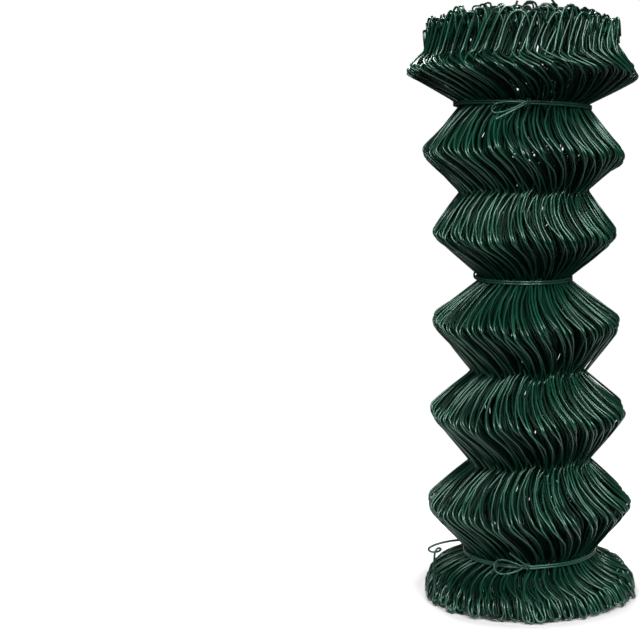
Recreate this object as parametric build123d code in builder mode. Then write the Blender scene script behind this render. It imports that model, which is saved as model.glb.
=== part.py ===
"""A compact roll of plastic-coated chain link fencing, standing on end, bound by three tie wires.

The fence is folded up along its length, so that its zigzag wires nest side by side, and the folded
mat is wound into a roll. Every wire swings out and in once for each diamond of the mesh, which
gives the roll its row of crests and waists. The tie wires lie in three of the waists.

Millimetres, +Z up. The origin is on the floor, on the axis of the roll.
"""

import os
from collections import namedtuple
from math import cos, pi, radians, sin, sqrt

from build123d import *

# Mesh and wire
mesh_side = 60.0  # side of one square diamond of the fence
wire_diameter = 2.1  # steel core with its plastic coat
wire_radius = wire_diameter / 2
wire_sides = 6
half_diamond = mesh_side / sqrt(2)  # height that a wire climbs from a waist to a crest

# Winding
turn_count = 6  # turns of folded mesh, one inside the other
turn_depth = 3.1  # depth of one turn
turn_gap = 1.0  # gap between two turns, which shows on the roll's ends
turn_gap_depth = 9.0
turn_gap_runs = 20  # straight runs in one turn of the gap
bore_flats = 32  # the bore is flat from wire to wire of the innermost turn
wall = turn_count * turn_depth

# Outline of the roll
crest_radius = 98.0
crest_band = 7.0  # height over which the wires bend back at a crest
waist_radius = 58.0
waist_band = 7.5
foot_radius = 105.0  # flared lower edge, which stands on the floor
foot_height = 16.0
rim_radius = 95.5  # upper edge, which nothing binds
rim_height = 25.0

# One share for each waist, and for the crest above it, from the floor up
waist_radius_shares = (1.085, 1.06, 0.975, 0.775, 1.105, 1.11)
crest_radius_shares = (1.03, 0.985, 0.94, 0.92, 1.005, 1.14)
foot_leg_share = 0.955
rising_leg_shares = (1.13, 1.14, 1.155, 1.05, 0.87, 0.84)
closing_leg_shares = (0.955, 0.94, 0.955, 0.905, 1.05, 1.11)

# Tie wires
tie_clearance = 0.1  # between a strand and the mesh
strand_bite = 0.2  # how far wires that lie on each other press together
strand_runs = 24  # straight runs of a strand from wire to wire of the mesh
bottom_bow_length = 31.0
bottom_bow_width = 14.0
bottom_tail_length = 15.0
bottom_tail_rise = 13.0
middle_bow_length = 27.0
middle_bow_width = 8.0
middle_tail_length = 12.0
middle_tail_rise = 5.0
top_bow_length = 33.0
top_bow_width = 9.0
top_tail_length = 26.0
top_tail_drop = 10.0

# The bow and tail run to the left of the knot where side is 1, and to its right where side is -1
Tie = namedtuple("Tie", "name waist knot_angle side bow_length bow_width tail_length tail_rise")
ties = (
    Tie(
        "bottom_tie_wire", 0, -3.0, 1,
        bottom_bow_length, bottom_bow_width, bottom_tail_length, bottom_tail_rise,
    ),
    Tie(
        "middle_tie_wire", 3, -140.0, -1,
        middle_bow_length, middle_bow_width, middle_tail_length, middle_tail_rise,
    ),
    Tie(
        "top_tie_wire", 5, 3.0, 1,
        top_bow_length, top_bow_width, top_tail_length, -top_tail_drop,
    ),
)
bow_shares = ((0.75, 1.0), (1.0, 0.5), (1.0, -0.5), (0.75, -1.0))  # of its length and half its width
bow_lift_share = 0.15  # how far the bow leans out, of its length
wrap_shares = ((0.65, 0.75), (1.0, 0.2))  # out and up from a strand, of the distance from wire to wire

os.makedirs("parts", exist_ok=True)

# Corners (radius, height) of the roll's outside, from the floor to the upper edge
height = foot_leg_share * half_diamond
waists = []
corners = [(foot_radius, 0), (foot_radius, foot_height)]
for waist_share, crest_share, rising_share, closing_share in zip(
    waist_radius_shares, crest_radius_shares, rising_leg_shares, closing_leg_shares
):
    waist = waist_share * waist_radius
    waists.append((waist, height))
    corners += [(waist, height - waist_band / 2), (waist, height + waist_band / 2)]
    height += rising_share * half_diamond
    crest = crest_share * crest_radius
    corners += [(crest, height - crest_band / 2), (crest, height + crest_band / 2)]
    height += closing_share * half_diamond
roll_height = height
corners += [(rim_radius, roll_height - rim_height), (rim_radius, roll_height)]


def bore_ring(radius, height):
    """Corners of the bore at one height."""
    turns = [2 * pi * flat / bore_flats for flat in range(bore_flats)]
    return [(radius * cos(turn), radius * sin(turn), height) for turn in turns]


def turn_gap_side(edge_radius, side):
    """One side of the gap between the turns, a spiral from half a turn's depth inside the edge."""
    points = []
    for run in range((turn_count - 1) * turn_gap_runs + 1):
        turn = run / turn_gap_runs
        radius = edge_radius - (turn + 0.5) * turn_depth + side * turn_gap / 2
        points.append((radius * cos(2 * pi * turn), radius * sin(2 * pi * turn)))
    return points


# The wound mesh
with BuildPart() as mesh_roll:
    with BuildSketch(Plane.XZ):
        Polygon((0, 0), *corners, (0, roll_height), align=None)
    revolve(axis=Axis.Z)

    # The bore, one stretch from each corner of the outline up to the next
    rings = [bore_ring(radius - wall, height) for radius, height in corners]
    stretches = [ConvexPolyhedron(low + high, mode=Mode.PRIVATE) for low, high in zip(rings, rings[1:])]
    add(stretches, mode=Mode.SUBTRACT)

    # The gap between the turns, cut into both ends
    for edge_radius, mouth_height in ((foot_radius, turn_gap_depth), (rim_radius, roll_height)):
        with BuildSketch(Plane.XY.offset(mouth_height)):
            outer_side = turn_gap_side(edge_radius, 1)
            inner_side = turn_gap_side(edge_radius, -1)
            Polygon(*outer_side, *reversed(inner_side), align=None)
        extrude(amount=-turn_gap_depth, mode=Mode.SUBTRACT)

mesh_roll.part.label = "mesh_roll"
export_step(mesh_roll.part, "parts/mesh_roll.step")


def tie_wire(tie):
    """A doubled wire round one waist, with a wrap over its two strands, a bow and a cut tail."""
    waist, height = waists[tie.waist]
    strand_radius = waist + tie_clearance + wire_radius
    corner_radius = strand_radius / cos(pi / strand_runs)
    strand_offset = wire_radius - strand_bite / 2
    wrap_offset = wire_diameter - strand_bite

    angle = radians(tie.knot_angle)
    outward = Vector(sin(angle), -cos(angle), 0)
    along = Vector(cos(angle), sin(angle), 0)
    up = Vector(0, 0, 1)
    strand_plane = Plane(up * height, x_dir=outward, z_dir=up)
    wrap_plane = Plane(up * height, x_dir=outward, z_dir=-along)
    knot_front = Plane(up * height + outward * (strand_radius + wrap_offset), x_dir=along, z_dir=outward)

    with BuildPart() as wire:
        with BuildLine(strand_plane) as strand:
            turns = [2 * pi * (run + 0.5) / strand_runs for run in range(strand_runs)]
            Polyline(*[(corner_radius * cos(turn), corner_radius * sin(turn)) for turn in turns], close=True)
        path = strand.wire()
        with BuildSketch(Plane(path @ 0, x_dir=up, z_dir=path % 0)):
            with Locations((strand_offset, 0), (-strand_offset, 0)):
                RegularPolygon(wire_radius, wire_sides)
        sweep(path=path, transition=Transition.RIGHT)

        # The wrap, the bow, and the tail, which leans out with the mesh that it lies along
        upper_wrap = [
            (strand_radius + out * wrap_offset, strand_offset + rise * wrap_offset)
            for out, rise in wrap_shares
        ]
        lower_wrap = [(out, -rise) for out, rise in reversed(upper_wrap)]
        bow_lift = bow_lift_share * tie.bow_length
        bow_end = [
            (-tie.side * length * tie.bow_length, width * tie.bow_width / 2, length * bow_lift)
            for length, width in bow_shares
        ]
        tail_end = (-tie.side * tie.tail_length, tie.tail_rise, abs(tie.tail_rise))
        for plane, points in (
            (wrap_plane, upper_wrap + lower_wrap),
            (knot_front, [(0, strand_offset), *bow_end, (0, -strand_offset)]),
            (knot_front, [(0, 0), tail_end]),
        ):
            with BuildLine(plane) as piece:
                Polyline(*points)
            path = piece.wire()
            with BuildSketch(Plane(path @ 0, z_dir=path % 0)):
                RegularPolygon(wire_radius, wire_sides)
            sweep(path=path, transition=Transition.RIGHT)

    wire.part.label = tie.name
    return wire.part


for tie in ties:
    export_step(tie_wire(tie), f"parts/{tie.name}.step")
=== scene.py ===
"""A compact roll of plastic-coated chain link fencing, standing on end, bound by three tie wires.

Every wire of the folded mesh is a tube of its own. The wires stand side by side along a spiral of
six turns, swing out and in together, and end in hooks above and below. Metres, +Z up.
"""

import math
from collections import namedtuple

import bmesh
import bpy
import numpy as np
from mathutils import Matrix, Vector


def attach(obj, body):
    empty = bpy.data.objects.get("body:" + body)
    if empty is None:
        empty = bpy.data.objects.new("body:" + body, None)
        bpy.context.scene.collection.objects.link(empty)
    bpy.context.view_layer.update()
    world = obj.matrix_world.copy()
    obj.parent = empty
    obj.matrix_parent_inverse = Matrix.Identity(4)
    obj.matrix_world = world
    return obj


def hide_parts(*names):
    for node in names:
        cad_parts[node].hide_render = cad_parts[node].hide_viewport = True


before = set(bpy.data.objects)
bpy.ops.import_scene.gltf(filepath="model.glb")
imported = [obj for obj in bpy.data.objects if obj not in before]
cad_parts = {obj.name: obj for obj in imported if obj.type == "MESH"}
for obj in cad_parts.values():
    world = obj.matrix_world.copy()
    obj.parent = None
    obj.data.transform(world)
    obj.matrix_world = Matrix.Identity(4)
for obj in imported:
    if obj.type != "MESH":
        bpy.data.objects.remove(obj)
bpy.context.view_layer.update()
scene = bpy.context.scene
rng = np.random.default_rng(11)
mm = 0.001

# Wire and winding
wire_radius = 1.05 * mm
wire_diameter = 2 * wire_radius
core_radius = 0.75 * mm
turn_depth = 3.1 * mm
outer_end_angle = math.radians(78)  # from the front, where the fence's outer end lies at the top
outer_end_reach = 0.025  # share of a turn over which the outer end hangs down
outer_end_drop = 9.0 * mm
sway = 3.0 * mm  # to the right at the floor, and to the left from the sway height up
sway_height = 430.0 * mm
wires_in_turn = 98
Turn = namedtuple("Turn", "name sides")
turns = (
    Turn("outer_turn", 6),
    Turn("second_turn", 5),
    Turn("third_turn", 4),
    Turn("fourth_turn", 4),
    Turn("fifth_turn", 4),
    Turn("inner_turn", 5),
)

# Share of a leg that a bend takes up
waist_roundness = 0.07
crest_roundness = 0.14
hook_roundness = 0.5
skirt_roundness = 0.35
shoulder_roundness = 0.2
rim_roundness = 0.4

# Share of a leg, from its waist to its crest, and how many degrees the wire leans to the right there
lean_under_crest = (
    (0, 3), (0.06, 3.6), (0.2, 4.1), (0.4, 3.7), (0.6, 2.8), (0.8, 1.2), (0.92, 0.2), (1, 0),
)
lean_over_crest = ((0, 3), (0.06, 0.5), (0.15, -2), (0.4, -5), (0.65, -4.5), (0.85, -2), (1, 0))
lean_to_shoulder = ((0, 0), (0.3, -3.5), (0.6, -3), (0.85, -1), (1, 0))
lean_spread = 0.28
drift_in_step = math.radians(13)  # further to the right, from each crest down to the waist below it

# Share of a leg, and how far two wires that hook into each other lie one behind the other there
pair_hidden = ((0, 0), (0.2, 1), (0.6, 1), (1, 0))
pair_share = 0.27  # how far such wires close up at a bend, of their spacing
closed_pair_share = 0.42  # the same, under a crest
closed_pair_inset = 2.0 * mm
open_pair_inset = 2.4 * mm  # over a crest, where they stay apart
closed_turns = 2
inner_turn_inset = 3.0 * mm  # how far the other turns sag inwards under a crest

# How far the wires stray from even places
bunch_share = 0.45  # of their spacing
bend_share = 0.5  # how far each bend bunches by itself, beside the bunching along a whole wire
turn_share = 0.3  # how far a turn bunches by itself, beside the bunching that all turns share
inner_turn_share = 1.0
crest_slack = 1.0 * mm
waist_slack = 1.0 * mm
height_slack = 1.5 * mm
tied_bends = (0, 6, 10)
tied_share = 0.3  # of the height slack, where a tie holds the wires
front_sags = np.array((1.0, 3.0, 5.0, 8.0, 1.0, 2.0)) * mm  # of the crests, from the floor up
top_crest_sag = 4.0 * mm  # all round, where nothing binds the wires above

# Hooks at both ends of a wire, where a range gives the least and the most
hook_width = 10.5 * mm
tail_length = 20.0 * mm
turned_over_range = (0.8, 1.05)  # of a hook's width, over which its wire turns
short_tail_range = (0.3, 0.6)  # of the tail length, for the second wire of a hook
Offsets = namedtuple("Offsets", "radius slide height")

# Hooks on the floor
foot_width_range = (0.8, 1.2)  # of the hook width
skirt_height = 17.0 * mm
skirt_inset = 4.0 * mm
skirt_pair_inset = 1.5 * mm
skirt_slide = 2.0 * mm
skirt_follow = 0.7  # share of a hook's own slide that the skirt above it takes part in
skirt_scatter = Offsets(1.5 * mm, 1.0 * mm, 2.0 * mm)
foot_slide = 6.0 * mm
foot_scatter = 1.0 * mm
foot_out_range = (-2.0 * mm, 3.0 * mm)
foot_lift_range = (0, 2.5 * mm)
foot_turn_in_range = (0, 2.5 * mm)
foot_tail_range = (0.7, 1.2)  # of the tail length
foot_tail_in = 0.4  # share of its length that a tail runs inwards, to the left and up
foot_tail_left = 0.4
foot_tail_rise = 0.9
foot_tail_scatter = 1.5 * mm
left_untidiness = 0.8

# Hooks over the upper edge
rim_width_range = (0.9, 1.45)  # of the hook width
shoulder_drop = 31.0 * mm
shoulder_sag = 8.0 * mm  # further down, in front and at the back
shoulder_inset = 1.5 * mm
shoulder_slide = -15.0 * mm
shoulder_follow = 0.3  # share of a hook's own slide that the shoulder below it takes part in
shoulder_scatter = Offsets(1.5 * mm, 1.5 * mm, 2.5 * mm)
rim_inset = 4.0 * mm
rim_pair_inset = 3.0 * mm
rim_slide = -1.0 * mm
rim_side_drop = 5.0 * mm
rim_lift_range = (-5.0 * mm, 5.0 * mm)
rim_scatter = Offsets(1.5 * mm, 2.0 * mm, 1.0 * mm)
rim_turn_out_range = (-4.0 * mm, 3.0 * mm)
rim_turn_scatter = 1.0 * mm
rim_tail_range = (0.7, 1.3)  # of the tail length
rim_tail_out_range = (-3.0 * mm, 2.0 * mm)
rim_tail_right_range = (-3.0 * mm, 6.0 * mm)
open_share = 0.04  # of the wires, whose cut ends stick up
open_turn = 2.0 * mm
open_rise = 4.0 * mm


def roll_outline():
    """Heights and radii of the CAD roll's waists and crests, from the floor up, and of its two edges."""
    points = np.array([vertex.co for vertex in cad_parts["mesh_roll"].data.vertices])
    heights = np.round(points[:, 2], 5)
    radii = np.hypot(points[:, 0], points[:, 1])
    levels = np.unique(heights)
    outside = np.array([radii[heights == level].max() for level in levels])
    inside = np.array([radii[heights == level].min() for level in levels])
    bent = outside - inside > wire_radius  # where the bore bends too
    levels, outside = levels[bent], outside[bent]
    edge_levels = 3  # an edge, the bottom of the gap between the turns, and the edge's other side
    bands = slice(edge_levels, -edge_levels)
    bend_heights = levels[bands].reshape(-1, 2).mean(axis=1)
    bend_radii = outside[bands].reshape(-1, 2).mean(axis=1)
    return bend_heights, bend_radii, outside[0], outside[-1], levels[-1]


bend_heights, bend_radii, foot_radius, rim_radius, roll_height = roll_outline()
bend_count = len(bend_heights)
rises = np.arange(bend_count) % 2 == 1  # crests, which follow the waists


def scatter(spread, shape=wires_in_turn):
    """Random offsets, each free of the others."""
    return spread * np.clip(rng.normal(size=shape), -2.5, 2.5)


def between(least_and_most, count=wires_in_turn):
    """Random numbers within a range."""
    return rng.uniform(*least_and_most, count)


def smooth_noise(shape):
    """Random numbers of about unit spread, in which neighbouring wires are alike."""
    near_share = 0.8
    noise = scatter(1, shape)
    near = np.roll(noise, 1, axis=0) + np.roll(noise, -1, axis=0)
    return (noise + near_share * near) / math.sqrt(1 + 2 * near_share**2)


def rounded(controls, roundness, samples):
    """Points along straight legs whose corners are rounded, at sample places counted in legs."""
    last = controls.shape[1] - 1
    leg = np.clip(np.floor(samples).astype(int), 0, last - 1)
    share = (samples - leg)[None, :, None]
    points = controls[:, leg] * (1 - share) + controls[:, leg + 1] * share
    bends = controls[:, 2:] - 2 * controls[:, 1:-1] + controls[:, :-2]
    for corner in range(1, last):
        reach = roundness[corner]
        inside = np.clip(reach - np.abs(samples - corner), 0, None)
        points += bends[:, corner - 1 : corner] * (inside**2 / (4 * reach))[None, :, None]
    return points


def reaching(targets, roundness, rounds=6):
    """Corners moved out, so that the rounded bends reach the targets."""
    controls = targets.copy()
    for _ in range(rounds):
        bends = controls[:, 2:] - 2 * controls[:, 1:-1] + controls[:, :-2]
        controls[:, 1:-1] = targets[:, 1:-1] - bends * roundness[None, 1:-1, None] / 4
    return controls


# Corners of a wire, from its lower cut end to its upper one, and the places where it is sampled
hook_corners = 4
cut_end, far_bend, near_bend, leg_end = range(hook_corners)  # counted from either end of the wire
leg_samples = (0, 0.04, 0.09, 0.18, 0.32, 0.46, 0.6, 0.74, 0.87, 0.95)
hook_samples = (0, 0.5, 0.75, 0.9, 1.1, 1.3, 1.5, 1.7, 1.9, 2.1, 2.3, 2.5, 2.75)
first_leg = hook_corners - 1
last_leg = hook_corners + bend_count
corner_count = bend_count + 2 * hook_corners
roundness = np.full(corner_count, hook_roundness)
roundness[first_leg] = skirt_roundness
roundness[hook_corners:last_leg] = np.where(rises, crest_roundness, waist_roundness)
roundness[last_leg] = shoulder_roundness
roundness[last_leg + 1] = rim_roundness
samples = np.array(
    list(hook_samples)
    + [leg + share for leg in range(first_leg, last_leg) for share in leg_samples]
    + [corner_count - 1 - sample for sample in reversed(hook_samples)]
)

# Where a sample lies on its leg, which is either under or over a crest
sample_leg = np.floor(samples).astype(int)
on_leg = (sample_leg >= first_leg) & (sample_leg < last_leg)
under = (sample_leg - hook_corners) % 2 == 0
from_waist = np.where(under, samples - sample_leg, 1 - samples + sample_leg)


def along_leg(table):
    """Values from a table of places on a leg and values there, and 0 in the hooks."""
    places, values = zip(*table)
    return np.where(on_leg, np.interp(from_waist, places, values), 0)


to_shoulder = sample_leg == last_leg - 1
lean = np.where(under, along_leg(lean_under_crest), along_leg(lean_over_crest))
lean = np.radians(np.where(to_shoulder, along_leg(lean_to_shoulder), lean))
hidden = along_leg(pair_hidden)
top_crest = bend_count // 2 - 1
crests_above = top_crest - np.clip((sample_leg - hook_corners) // 2, -1, top_crest)
drift = drift_in_step * (crests_above + np.where(on_leg & under, 1 - from_waist, 0))

index = np.arange(wires_in_turn)
pair_side = np.where(index % 2 == 0, 1, -1)  # an even wire hooks into the wire to its right at a crest
shared_bunch = smooth_noise((wires_in_turn, 1)) + bend_share * smooth_noise((wires_in_turn, bend_count))


def pair_values(least_and_most):
    """Random numbers within a range, the same for the two wires that hook into each other."""
    pairs = wires_in_turn // 2
    return between(least_and_most, pairs)[(index + 1) // 2 % pairs]


def place_bends(corners, angle, inset, drop, own_share):
    """The waists and crests, where neighbouring wires hook into each other in pairs."""
    shape = (wires_in_turn, bend_count)
    bends = corners[:, hook_corners:last_leg]
    slack = np.where(rises, crest_slack, waist_slack) * np.abs(smooth_noise(shape))
    bends[:, :, 0] = bend_radii - wire_radius - inset[:, None] - slack
    own_slack = height_slack * np.where(np.isin(np.arange(bend_count), tied_bends), tied_share, 1)
    bends[:, :, 2] = bend_heights + own_slack * smooth_noise(shape)
    bends[:, -1, 2] -= top_crest_sag
    crest_angles = angle[:, None] + drift_in_step * (top_crest - np.arange(top_crest + 1))
    bends[:, 1::2, 2] -= front_sags * np.cos(crest_angles)
    bends[:, :, 2] += own_slack * smooth_noise((wires_in_turn, 1)) - np.where(rises, drop[:, None], 0)
    spacing = 2 * np.pi * bends[:, :, 0] / wires_in_turn
    pair = pair_side[:, None] * np.where(rises, 1, -1)
    bunch = shared_bunch + own_share * smooth_noise(shape)
    bends[:, :, 1] = spacing * (pair_share * pair + bunch_share * bunch)


def place_floor_hooks(corners, inset, untidy, shift):
    """The flared skirt, and the hooks that stand on the floor, two wires to each."""
    radius, slide, height = np.moveaxis(corners, 2, 0)
    spacing = 2 * np.pi * (foot_radius - inset) / wires_in_turn
    width = hook_width * pair_values(foot_width_range)
    own_slide = pair_side * (spacing - width) / 2 + shift * spacing
    lift = untidy * pair_values(foot_lift_range)

    radius[:, leg_end] = foot_radius - skirt_inset - inset + untidy * scatter(skirt_scatter.radius)
    radius[:, leg_end] -= np.where(pair_side < 0, skirt_pair_inset, 0)
    height[:, leg_end] = skirt_height + untidy * scatter(skirt_scatter.height)
    slide[:, leg_end] = skirt_slide + skirt_follow * own_slide + untidy * scatter(skirt_scatter.slide)

    radius[:, near_bend] = foot_radius - wire_radius - inset + untidy * pair_values(foot_out_range)
    height[:, near_bend] = wire_radius + lift
    slide[:, near_bend] = foot_slide + own_slide + untidy * scatter(foot_scatter)

    radius[:, far_bend] = radius[:, near_bend] - between(foot_turn_in_range)
    height[:, far_bend] = height[:, near_bend]
    slide[:, far_bend] = slide[:, near_bend] + pair_side * width * between(turned_over_range)

    reach = tail_length * np.where(pair_side > 0, between(foot_tail_range), between(short_tail_range))
    radius[:, cut_end] = radius[:, far_bend] - foot_tail_in * reach
    height[:, cut_end] = height[:, far_bend] + foot_tail_rise * reach
    slide[:, cut_end] = slide[:, far_bend] - np.where(pair_side > 0, foot_tail_left * reach, 0)
    slide[:, cut_end] += untidy * scatter(foot_tail_scatter)


def place_rim_hooks(corners, angle, inset):
    """The kinked shoulders, and the hooks over the upper edge, two wires to each, a few left open."""
    radius, slide, height = np.moveaxis(corners[:, ::-1], 2, 0)
    spacing = 2 * np.pi * (rim_radius - inset) / wires_in_turn
    width = hook_width * pair_values(rim_width_range)
    own_slide = pair_side * (spacing - width) / 2
    open_hook = rng.random(wires_in_turn) < open_share
    turned_over = pair_side * np.where(open_hook, open_turn, width * between(turned_over_range))
    inset = inset + np.where(pair_side < 0, rim_pair_inset, 0)

    radius[:, leg_end] = rim_radius - shoulder_inset - inset + scatter(shoulder_scatter.radius)
    height[:, leg_end] = roll_height - shoulder_drop + scatter(shoulder_scatter.height)
    height[:, leg_end] -= shoulder_sag * np.cos(angle) ** 2
    slide[:, leg_end] = shoulder_slide + shoulder_follow * own_slide + scatter(shoulder_scatter.slide)

    radius[:, near_bend] = rim_radius - rim_inset - inset + scatter(rim_scatter.radius)
    height[:, near_bend] = roll_height - wire_radius - rim_side_drop * np.sin(angle) ** 2
    height[:, near_bend] += pair_values(rim_lift_range) + scatter(rim_scatter.height)
    slide[:, near_bend] = rim_slide + own_slide + scatter(rim_scatter.slide)

    radius[:, far_bend] = radius[:, near_bend] + between(rim_turn_out_range)
    height[:, far_bend] = height[:, near_bend] + np.where(open_hook, open_turn, scatter(rim_turn_scatter))
    slide[:, far_bend] = slide[:, near_bend] + turned_over

    reach = tail_length * np.where(pair_side > 0, between(rim_tail_range), between(short_tail_range))
    radius[:, cut_end] = radius[:, far_bend] + between(rim_tail_out_range)
    height[:, cut_end] = height[:, far_bend] + np.where(open_hook, open_rise, -reach)
    slide[:, cut_end] = slide[:, far_bend] + between(rim_tail_right_range)


def in_space(angle, radius, height):
    """Points at angles from the front, positive to the right."""
    right = radius * np.sin(angle) + sway * np.cos(np.pi * np.clip(height / sway_height, 0, 1))
    return np.stack((right, -radius * np.cos(angle), height), axis=-1)


def turn_paths(turn):
    """Middle lines of all the wires of one turn, from its outer end inwards."""
    winding = turn + index / wires_in_turn
    angle = outer_end_angle - 2 * np.pi * winding
    inset = turn_depth * winding
    untidy = 1 + left_untidiness * np.clip(-np.sin(angle + drift[0]), 0, 1)
    corners = np.zeros((wires_in_turn, corner_count, 3))  # radius, slide to the right, and height
    drop = outer_end_drop * np.exp(-winding / outer_end_reach)
    place_bends(corners, angle, inset, drop, turn_share if turn < closed_turns else inner_turn_share)
    place_floor_hooks(corners, inset, untidy, turn % 2)
    place_rim_hooks(corners, angle, inset)
    bends = slice(hook_corners, last_leg)
    corners[:, bends] = reaching(corners, roundness)[:, bends]
    radius, slide, height = np.moveaxis(rounded(corners, roundness, samples), 2, 0)
    own_lean = lean * (1 + scatter(lean_spread, (wires_in_turn, 1))) + drift
    spacing = 2 * np.pi / wires_in_turn
    if turn < closed_turns:
        behind = np.where(pair_side[:, None] < 0, hidden, 0)
        own_lean += closed_pair_share * spacing * np.where(under, hidden, 0) * pair_side[:, None]
        radius = radius - behind * np.where(under, closed_pair_inset, open_pair_inset)
    else:
        own_lean += turn * spacing / 2
        radius = radius - np.where(under, hidden, 0) * inner_turn_inset
    turned = angle[:, None] + slide / radius + own_lean
    return in_space(turned, radius, height)


def unit(vectors):
    """The same directions, at length 1."""
    return vectors / np.linalg.norm(vectors, axis=-1, keepdims=True)


def rings_round(paths, radius, sides):
    """Rings of points round each path, carried along it without twist."""
    aside = (0.3, 0.4, 0.87)  # a direction that no path starts in
    along = unit(np.gradient(paths, axis=1))
    normal = unit(np.cross(along[:, 0], aside))
    turn = 2 * np.pi * np.arange(sides)[None, :, None] / sides
    rings = np.zeros(paths.shape[:2] + (sides, 3))
    for step in range(paths.shape[1]):
        here = along[:, step]
        normal = unit(normal - here * np.sum(normal * here, axis=1, keepdims=True))
        across = np.cross(here, normal)
        out = np.cos(turn) * normal[:, None] + np.sin(turn) * across[:, None]
        rings[:, step] = paths[:, step][:, None] + radius * out
    return rings


def bands_between(lower, upper, sides):
    """Faces between two rings, given the numbers of their first points."""
    side = np.arange(sides)
    following = (side + 1) % sides
    faces = np.stack((lower + side, lower + following, upper + following, upper + side), axis=-1)
    return faces.reshape(-1, 4)


def add_tubes(name, batches, sides, coat):
    """One mesh of coated wires along the paths, with the steel core showing at each cut end."""
    points, quads, cores = [], [], []
    base = 0
    for paths in batches:
        count, steps = paths.shape[:2]
        rings = rings_round(paths, wire_radius, sides)
        core_rings = rings_round(paths, core_radius, sides)[:, (0, -1)]
        points.append(np.concatenate((rings, core_rings), axis=1).reshape(-1, 3))
        first = base + np.arange(count)[:, None, None] * (steps + 2) * sides
        ring = first + np.arange(steps)[None, :, None] * sides
        lower_core = first + steps * sides
        upper_core = lower_core + sides
        quads.append(bands_between(ring[:, :-1], ring[:, 1:], sides))
        quads.append(bands_between(lower_core, ring[:, :1], sides))
        quads.append(bands_between(ring[:, -1:], upper_core, sides))
        cores.append((lower_core + np.arange(sides)[::-1]).reshape(-1, sides))
        cores.append((upper_core + np.arange(sides)).reshape(-1, sides))
        base += count * (steps + 2) * sides
    quads, cores = np.concatenate(quads), np.concatenate(cores)
    mesh = bpy.data.meshes.new(name)
    mesh.from_pydata(np.concatenate(points).tolist(), [], quads.tolist() + cores.tolist())
    mesh.materials.append(coat)
    mesh.materials.append(cut_steel)
    is_core = np.arange(len(mesh.polygons)) >= len(quads)
    mesh.polygons.foreach_set("material_index", is_core.astype(np.int32))
    mesh.polygons.foreach_set("use_smooth", ~is_core)
    mesh.update()
    piece = bpy.data.objects.new(name, mesh)
    scene.collection.objects.link(piece)
    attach(piece, "root")
    return piece


def smooth_line(points, rounds=3):
    """A line whose corners are cut again and again, until it is a smooth curve."""
    points = np.array(points, dtype=float)
    for _ in range(rounds):
        near = 0.75 * points[:-1] + 0.25 * points[1:]
        far = 0.25 * points[:-1] + 0.75 * points[1:]
        inner = np.stack((near, far), axis=1).reshape(-1, points.shape[1])
        points = np.concatenate((points[:1], inner, points[-1:]))
    return points


# Materials
def coat_material(name, deep, light, glossy, dull, shine):
    """Green plastic between two colours and two roughnesses, in patches, each wire with its own shade."""
    material = bpy.data.materials.new(name)
    material.use_nodes = True
    nodes, links = material.node_tree.nodes, material.node_tree.links
    shader = nodes["Principled BSDF"]
    shader.inputs["Specular IOR Level"].default_value = shine
    shader.inputs["Specular Tint"].default_value = (0.7, 1, 0.87, 1)
    place = nodes.new("ShaderNodeTexCoord")
    patches = nodes.new("ShaderNodeTexNoise")
    patches.inputs["Scale"].default_value = 35.0
    patches.inputs["Detail"].default_value = 4.0
    links.new(place.outputs["Object"], patches.inputs["Vector"])
    geometry = nodes.new("ShaderNodeNewGeometry")
    shade = nodes.new("ShaderNodeMath")
    shade.operation = "MULTIPLY_ADD"
    links.new(geometry.outputs["Random Per Island"], shade.inputs[0])
    shade.inputs[1].default_value = 0.45
    links.new(patches.outputs["Fac"], shade.inputs[2])
    colour = nodes.new("ShaderNodeValToRGB")
    colour.color_ramp.elements[0].position = 0.35
    colour.color_ramp.elements[0].color = (*deep, 1)
    colour.color_ramp.elements[1].position = 1.0
    colour.color_ramp.elements[1].color = (*light, 1)
    links.new(shade.outputs[0], colour.inputs["Fac"])
    links.new(colour.outputs["Color"], shader.inputs["Base Color"])
    roughness = nodes.new("ShaderNodeMapRange")
    roughness.inputs["To Min"].default_value = glossy
    roughness.inputs["To Max"].default_value = dull
    links.new(patches.outputs["Fac"], roughness.inputs["Value"])
    links.new(roughness.outputs["Result"], shader.inputs["Roughness"])
    grain = nodes.new("ShaderNodeTexNoise")
    grain.inputs["Scale"].default_value = 150.0
    links.new(place.outputs["Object"], grain.inputs["Vector"])
    bump = nodes.new("ShaderNodeBump")
    bump.inputs["Strength"].default_value = 0.03
    bump.inputs["Distance"].default_value = 0.1 * mm
    links.new(grain.outputs["Fac"], bump.inputs["Height"])
    links.new(bump.outputs["Normal"], shader.inputs["Normal"])
    return material


def steel_material():
    """The bright cut end of the steel core."""
    material = bpy.data.materials.new("cut_steel")
    material.use_nodes = True
    nodes, links = material.node_tree.nodes, material.node_tree.links
    shader = nodes["Principled BSDF"]
    shader.inputs["Metallic"].default_value = 1.0
    shader.inputs["Base Color"].default_value = (0.62, 0.62, 0.6, 1)
    place = nodes.new("ShaderNodeTexCoord")
    burr = nodes.new("ShaderNodeTexNoise")
    burr.inputs["Scale"].default_value = 1500.0
    links.new(place.outputs["Object"], burr.inputs["Vector"])
    dull = nodes.new("ShaderNodeMapRange")
    dull.inputs["To Min"].default_value = 0.25
    dull.inputs["To Max"].default_value = 0.5
    links.new(burr.outputs["Fac"], dull.inputs["Value"])
    links.new(dull.outputs["Result"], shader.inputs["Roughness"])
    return material


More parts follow.
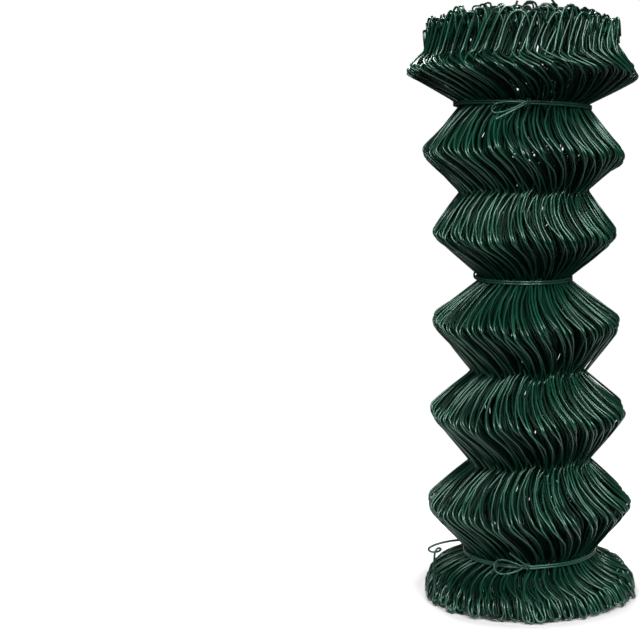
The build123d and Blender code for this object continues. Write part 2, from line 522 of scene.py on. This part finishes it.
mesh_coat = coat_material(
    "coated_mesh_green",
    deep=(0.0005, 0.009, 0.005), light=(0.002, 0.034, 0.0185), glossy=0.24, dull=0.38, shine=0.68,
)
# A darker, rougher copy of the mesh coat with little sheen: painted shade for the inner turns
inner_painted_shade_coat = coat_material(
    "coated_mesh_green_painted_shade",
    deep=(0.0003, 0.004, 0.0023), light=(0.001, 0.014, 0.008), glossy=0.35, dull=0.5, shine=0.15,
)
tie_coat = coat_material(
    "coated_tie_green",
    deep=(0.003, 0.02, 0.015), light=(0.012, 0.052, 0.04), glossy=0.2, dull=0.34, shine=0.65,
)
cut_steel = steel_material()

# The turns of the roll; the inner ones wear a darker, duller coat with little sheen, which paints in the
# shade that falls between the turns
for number, turn in enumerate(turns):
    coat = mesh_coat if number == 0 else inner_painted_shade_coat
    piece = add_tubes(turn.name, [turn_paths(number)], turn.sides, coat)
    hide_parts("mesh_roll")

# Wire ends that have sprung out of the roll, as points (right, back, up) in millimetres
neck_loop = (
    (-62, -4, 49), (-76, -7, 48.5), (-88, -9, 46), (-95, -10, 43), (-96, -10, 40), (-92, -11, 38.5),
    (-85, -12, 39.5), (-83, -12, 42.5), (-87, -13, 43.5), (-90, -15, 38), (-88, -36, 23), (-85, -56, 12),
)
right_barb = ((62, -12, 33), (71, -11, 34), (74, -10, 37))
lower_right_barb = ((78, -22, 20), (87, -20, 21), (89, -18, 25))
loose_sides = 8
loose_ends = [smooth_line(points)[None] * mm for points in (neck_loop, right_barb, lower_right_barb)]
piece = add_tubes("loose_ends", loose_ends, loose_sides, mesh_coat)

# Tie wires
tie_sides = 10
tie_clearance = 0.1 * mm
strand_samples = 96
climb_share = 0.05  # of a strand, over which it climbs onto the other wires at the knot
bow_lift_share = 0.15  # of its length, by which a bow leans out
bow_shares = ((0.3, 0.55), (0.65, 1), (0.95, 0.95), (1.05, 0), (0.95, -0.95), (0.65, -1), (0.3, -0.55))
wrap_samples = 40
wrap_radius = 1.5 * wire_diameter
wrap_way = (0.3 * wire_diameter, 1.5 * wire_diameter)  # along the strands, from its start to its end
wrap_angles = (110, -345)  # degrees from outwards towards up, at its start and its end
tail_lean_share = 0.6  # of its rise, by which a tail leans out
tail_bend_share = 0.1  # of its length, by which its middle bends out

# The bow and tail run to the left of the knot where side is 1, and the ring sinks to its right and front
Knot = namedtuple("Knot", "bend angle side right_drop front_drop")
Bow = namedtuple("Bow", "length width drop")
Tail = namedtuple("Tail", "length rise")
Tie = namedtuple("Tie", "name node knot bow tail")
ties = (
    Tie(
        "bottom_tie", "bottom_tie_wire", Knot(0, -3, 1, 0, -0.5 * mm),
        Bow(27 * mm, 14 * mm, 0), Tail(15 * mm, 16 * mm),
    ),
    Tie(
        "middle_tie", "middle_tie_wire", Knot(6, -140, -1, 0.5 * mm, 1.5 * mm),
        Bow(24 * mm, 8 * mm, 0), Tail(12 * mm, 5 * mm),
    ),
    Tie(
        "top_tie", "top_tie_wire", Knot(10, 3, 1, 2 * mm, 0),
        Bow(28.5 * mm, 9 * mm, 7 * mm), Tail(26 * mm, -17 * mm),
    ),
)


def tie_path(tie):
    """Middle line of one wire: round the waist, out into a bow, back round, over the knot and off."""
    strand_radius = bend_radii[tie.knot.bend] + tie_clearance + wire_radius
    girth = 2 * np.pi * strand_radius
    way = np.linspace(0, 1, strand_samples)
    rise = np.clip((way - 1) / climb_share + 1, 0, 1)
    over = wire_diameter * rise**2 * (3 - 2 * rise)
    level = np.full(strand_samples, wire_radius)

    # Distance to the right of the knot, outwards and up
    lower_strand = np.stack((-girth * way, over, -level), axis=1)
    bow_lift = bow_lift_share * tie.bow.length
    bow = [
        (
            -girth - length * tie.bow.length,
            wire_diameter + length * bow_lift,
            -width * tie.bow.width / 2 - length * tie.bow.drop,
        )
        for length, width in reversed(bow_shares)
    ]
    bow = smooth_line([lower_strand[-1], *bow, (-girth, wire_diameter, wire_radius)])[1:-1]
    upper_strand = np.stack((-girth * (1 - way), over[::-1], level), axis=1)
    turn = np.radians(np.linspace(*wrap_angles, wrap_samples))
    wrap = np.stack(
        (
            np.linspace(*wrap_way, wrap_samples),
            wire_radius + wrap_radius * np.cos(turn),
            wrap_radius * np.sin(turn),
        ),
        axis=1,
    )
    tail = np.array((-tie.tail.length, tail_lean_share * abs(tie.tail.rise), tie.tail.rise))
    tail_bend = np.array((0, tail_bend_share * tie.tail.length, 0))
    tail = smooth_line([wrap[-1], wrap[-1] + tail / 2 + tail_bend, wrap[-1] + tail])[1:]
    line = np.concatenate((lower_strand, bow, upper_strand, wrap, tail))
    angle = math.radians(tie.knot.angle) + tie.knot.side * line[:, 0] / strand_radius
    drop = tie.knot.right_drop * np.sin(angle) + tie.knot.front_drop * np.cos(angle)
    height = bend_heights[tie.knot.bend] + line[:, 2] - drop
    return in_space(angle, strand_radius + line[:, 1], height)


for tie in ties:
    piece = add_tubes(tie.name, [tie_path(tie)[None]], tie_sides, tie_coat)
    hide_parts(tie.node)

# Floor, which fades into a pale surround that only the camera sees
floor_reach = 0.75
fade_start = 0.15  # from the axis of the roll
fade_end = 0.8 * floor_reach
glow_start = 1.02 * foot_radius
glow_end = 1.35 * foot_radius
surround_radius = 12.0


def floor_fade_material():
    """A matt pale floor that glows outside the roll's shade, and thins out towards its edge."""
    material = bpy.data.materials.new("pale_floor")
    material.use_nodes = True
    nodes, links = material.node_tree.nodes, material.node_tree.links
    shader = nodes["Principled BSDF"]
    shader.inputs["Base Color"].default_value = (0.5, 0.5, 0.5, 1)
    shader.inputs["Roughness"].default_value = 0.9
    shader.inputs["Emission Color"].default_value = (1, 1, 1, 1)
    place = nodes.new("ShaderNodeTexCoord")
    distance = nodes.new("ShaderNodeVectorMath")
    distance.operation = "LENGTH"
    links.new(place.outputs["Object"], distance.inputs[0])
    glow = nodes.new("ShaderNodeMapRange")
    glow.inputs["From Min"].default_value = glow_start
    glow.inputs["From Max"].default_value = glow_end
    glow.inputs["To Max"].default_value = 0.6
    links.new(distance.outputs["Value"], glow.inputs["Value"])
    links.new(glow.outputs["Result"], shader.inputs["Emission Strength"])
    fade = nodes.new("ShaderNodeMapRange")
    fade.interpolation_type = "SMOOTHSTEP"
    fade.inputs["From Min"].default_value = fade_start
    fade.inputs["From Max"].default_value = fade_end
    links.new(distance.outputs["Value"], fade.inputs["Value"])
    clear = nodes.new("ShaderNodeBsdfTransparent")
    mix = nodes.new("ShaderNodeMixShader")
    links.new(fade.outputs["Result"], mix.inputs["Fac"])
    links.new(shader.outputs["BSDF"], mix.inputs[1])
    links.new(clear.outputs["BSDF"], mix.inputs[2])
    links.new(mix.outputs["Shader"], nodes["Material Output"].inputs["Surface"])
    return material


def surround_material():
    """An even white glow."""
    material = bpy.data.materials.new("pale_surround")
    material.use_nodes = True
    nodes, links = material.node_tree.nodes, material.node_tree.links
    glow = nodes.new("ShaderNodeEmission")
    glow.inputs["Strength"].default_value = 1.0
    links.new(glow.outputs["Emission"], nodes["Material Output"].inputs["Surface"])
    return material


def add_stage(name, build, material):
    """A floor or backdrop from a shape that build adds to an empty bmesh."""
    shape = bmesh.new()
    build(shape)
    mesh = bpy.data.meshes.new(name)
    shape.to_mesh(mesh)
    shape.free()
    mesh.materials.append(material)
    piece = bpy.data.objects.new(name, mesh)
    scene.collection.objects.link(piece)
    return piece


floor = add_stage(
    "floor",
    lambda shape: bmesh.ops.create_circle(shape, cap_ends=True, radius=floor_reach, segments=96),
    floor_fade_material(),
)
surround = add_stage(
    "surround",
    lambda shape: bmesh.ops.create_uvsphere(shape, u_segments=48, v_segments=24, radius=surround_radius),
    surround_material(),
)
floor.visible_diffuse = False
surround.visible_diffuse = False
surround.visible_glossy = False
surround.visible_transmission = False
surround.visible_shadow = False

# Light
world = bpy.data.worlds.new("studio")
world.use_nodes = True
world.node_tree.nodes["Background"].inputs["Color"].default_value = (1, 1, 1, 1)
world.node_tree.nodes["Background"].inputs["Strength"].default_value = 0.04
scene.world = world
scene.view_settings.view_transform = "Standard"

Softbox = namedtuple("Softbox", "name place width height power")
softboxes = (
    Softbox("left_softbox", (-1.0, -1.36, 1.8), 0.7, 0.85, 36),
    Softbox("right_softbox", (1.0, -1.36, 1.8), 0.7, 0.85, 46),
    Softbox("front_softbox", (0.15, -1.8, 1.75), 0.6, 0.85, 37),
    Softbox("high_softbox", (0, -0.3, 2.3), 0.7, 0.7, 6),
    Softbox("low_softbox", (0.1, -2.0, 0.65), 0.45, 0.35, 12),
    Softbox("back_softbox", (-0.3, 1.8, 1.9), 1.0, 0.8, 60),
)


def add_softbox(softbox, aim):
    """A rectangular area light that faces the aim."""
    light = bpy.data.lights.new(softbox.name, "AREA")
    light.shape = "RECTANGLE"
    light.size = softbox.width
    light.size_y = softbox.height
    light.energy = softbox.power
    lamp = bpy.data.objects.new(softbox.name, light)
    lamp.location = softbox.place
    lamp.rotation_euler = (aim - Vector(softbox.place)).to_track_quat("-Z", "Y").to_euler()
    scene.collection.objects.link(lamp)


for softbox in softboxes:
    add_softbox(softbox, aim=Vector((0, 0, roll_height / 2)))

# Camera, turned so that both ends of the roll's axis come where the photograph has them
image_width, image_height = 640, 630
axis_top_pixel = (525.5, 18.5)
axis_foot_pixel = (526.5, 587.0)
camera_place = Vector((0, -1.206, 0.407))
camera = bpy.data.objects.new("camera", bpy.data.cameras.new("camera"))
camera.data.sensor_width = 36.0
camera.data.lens = 70.4
camera.data.shift_x = -0.29  # the roll stands at the right of the photograph
camera.data.shift_y = -0.06
focal_pixels = camera.data.lens / camera.data.sensor_width * image_width


def pixel_ray(pixel):
    """The direction from the camera, in its own axes, in which a pixel lies."""
    right = pixel[0] - image_width / 2 + camera.data.shift_x * image_width
    up = image_height / 2 - pixel[1] + camera.data.shift_y * image_width
    return Vector((right, up, -focal_pixels)).normalized()


def axes_of(first, second):
    """A square set of axes in the plane of two directions."""
    across = first.cross(second).normalized()
    middle_way = (first + second).normalized()
    return Matrix((middle_way, across, middle_way.cross(across))).transposed()


seen = axes_of(pixel_ray(axis_top_pixel), pixel_ray(axis_foot_pixel))
to_top = (Vector((0, 0, roll_height)) - camera_place).normalized()
to_foot = (Vector((0, 0, 0)) - camera_place).normalized()
there = axes_of(to_top, to_foot)
camera.matrix_world = Matrix.Translation(camera_place) @ (there @ seen.transposed()).to_4x4()
scene.collection.objects.link(camera)
scene.camera = camera
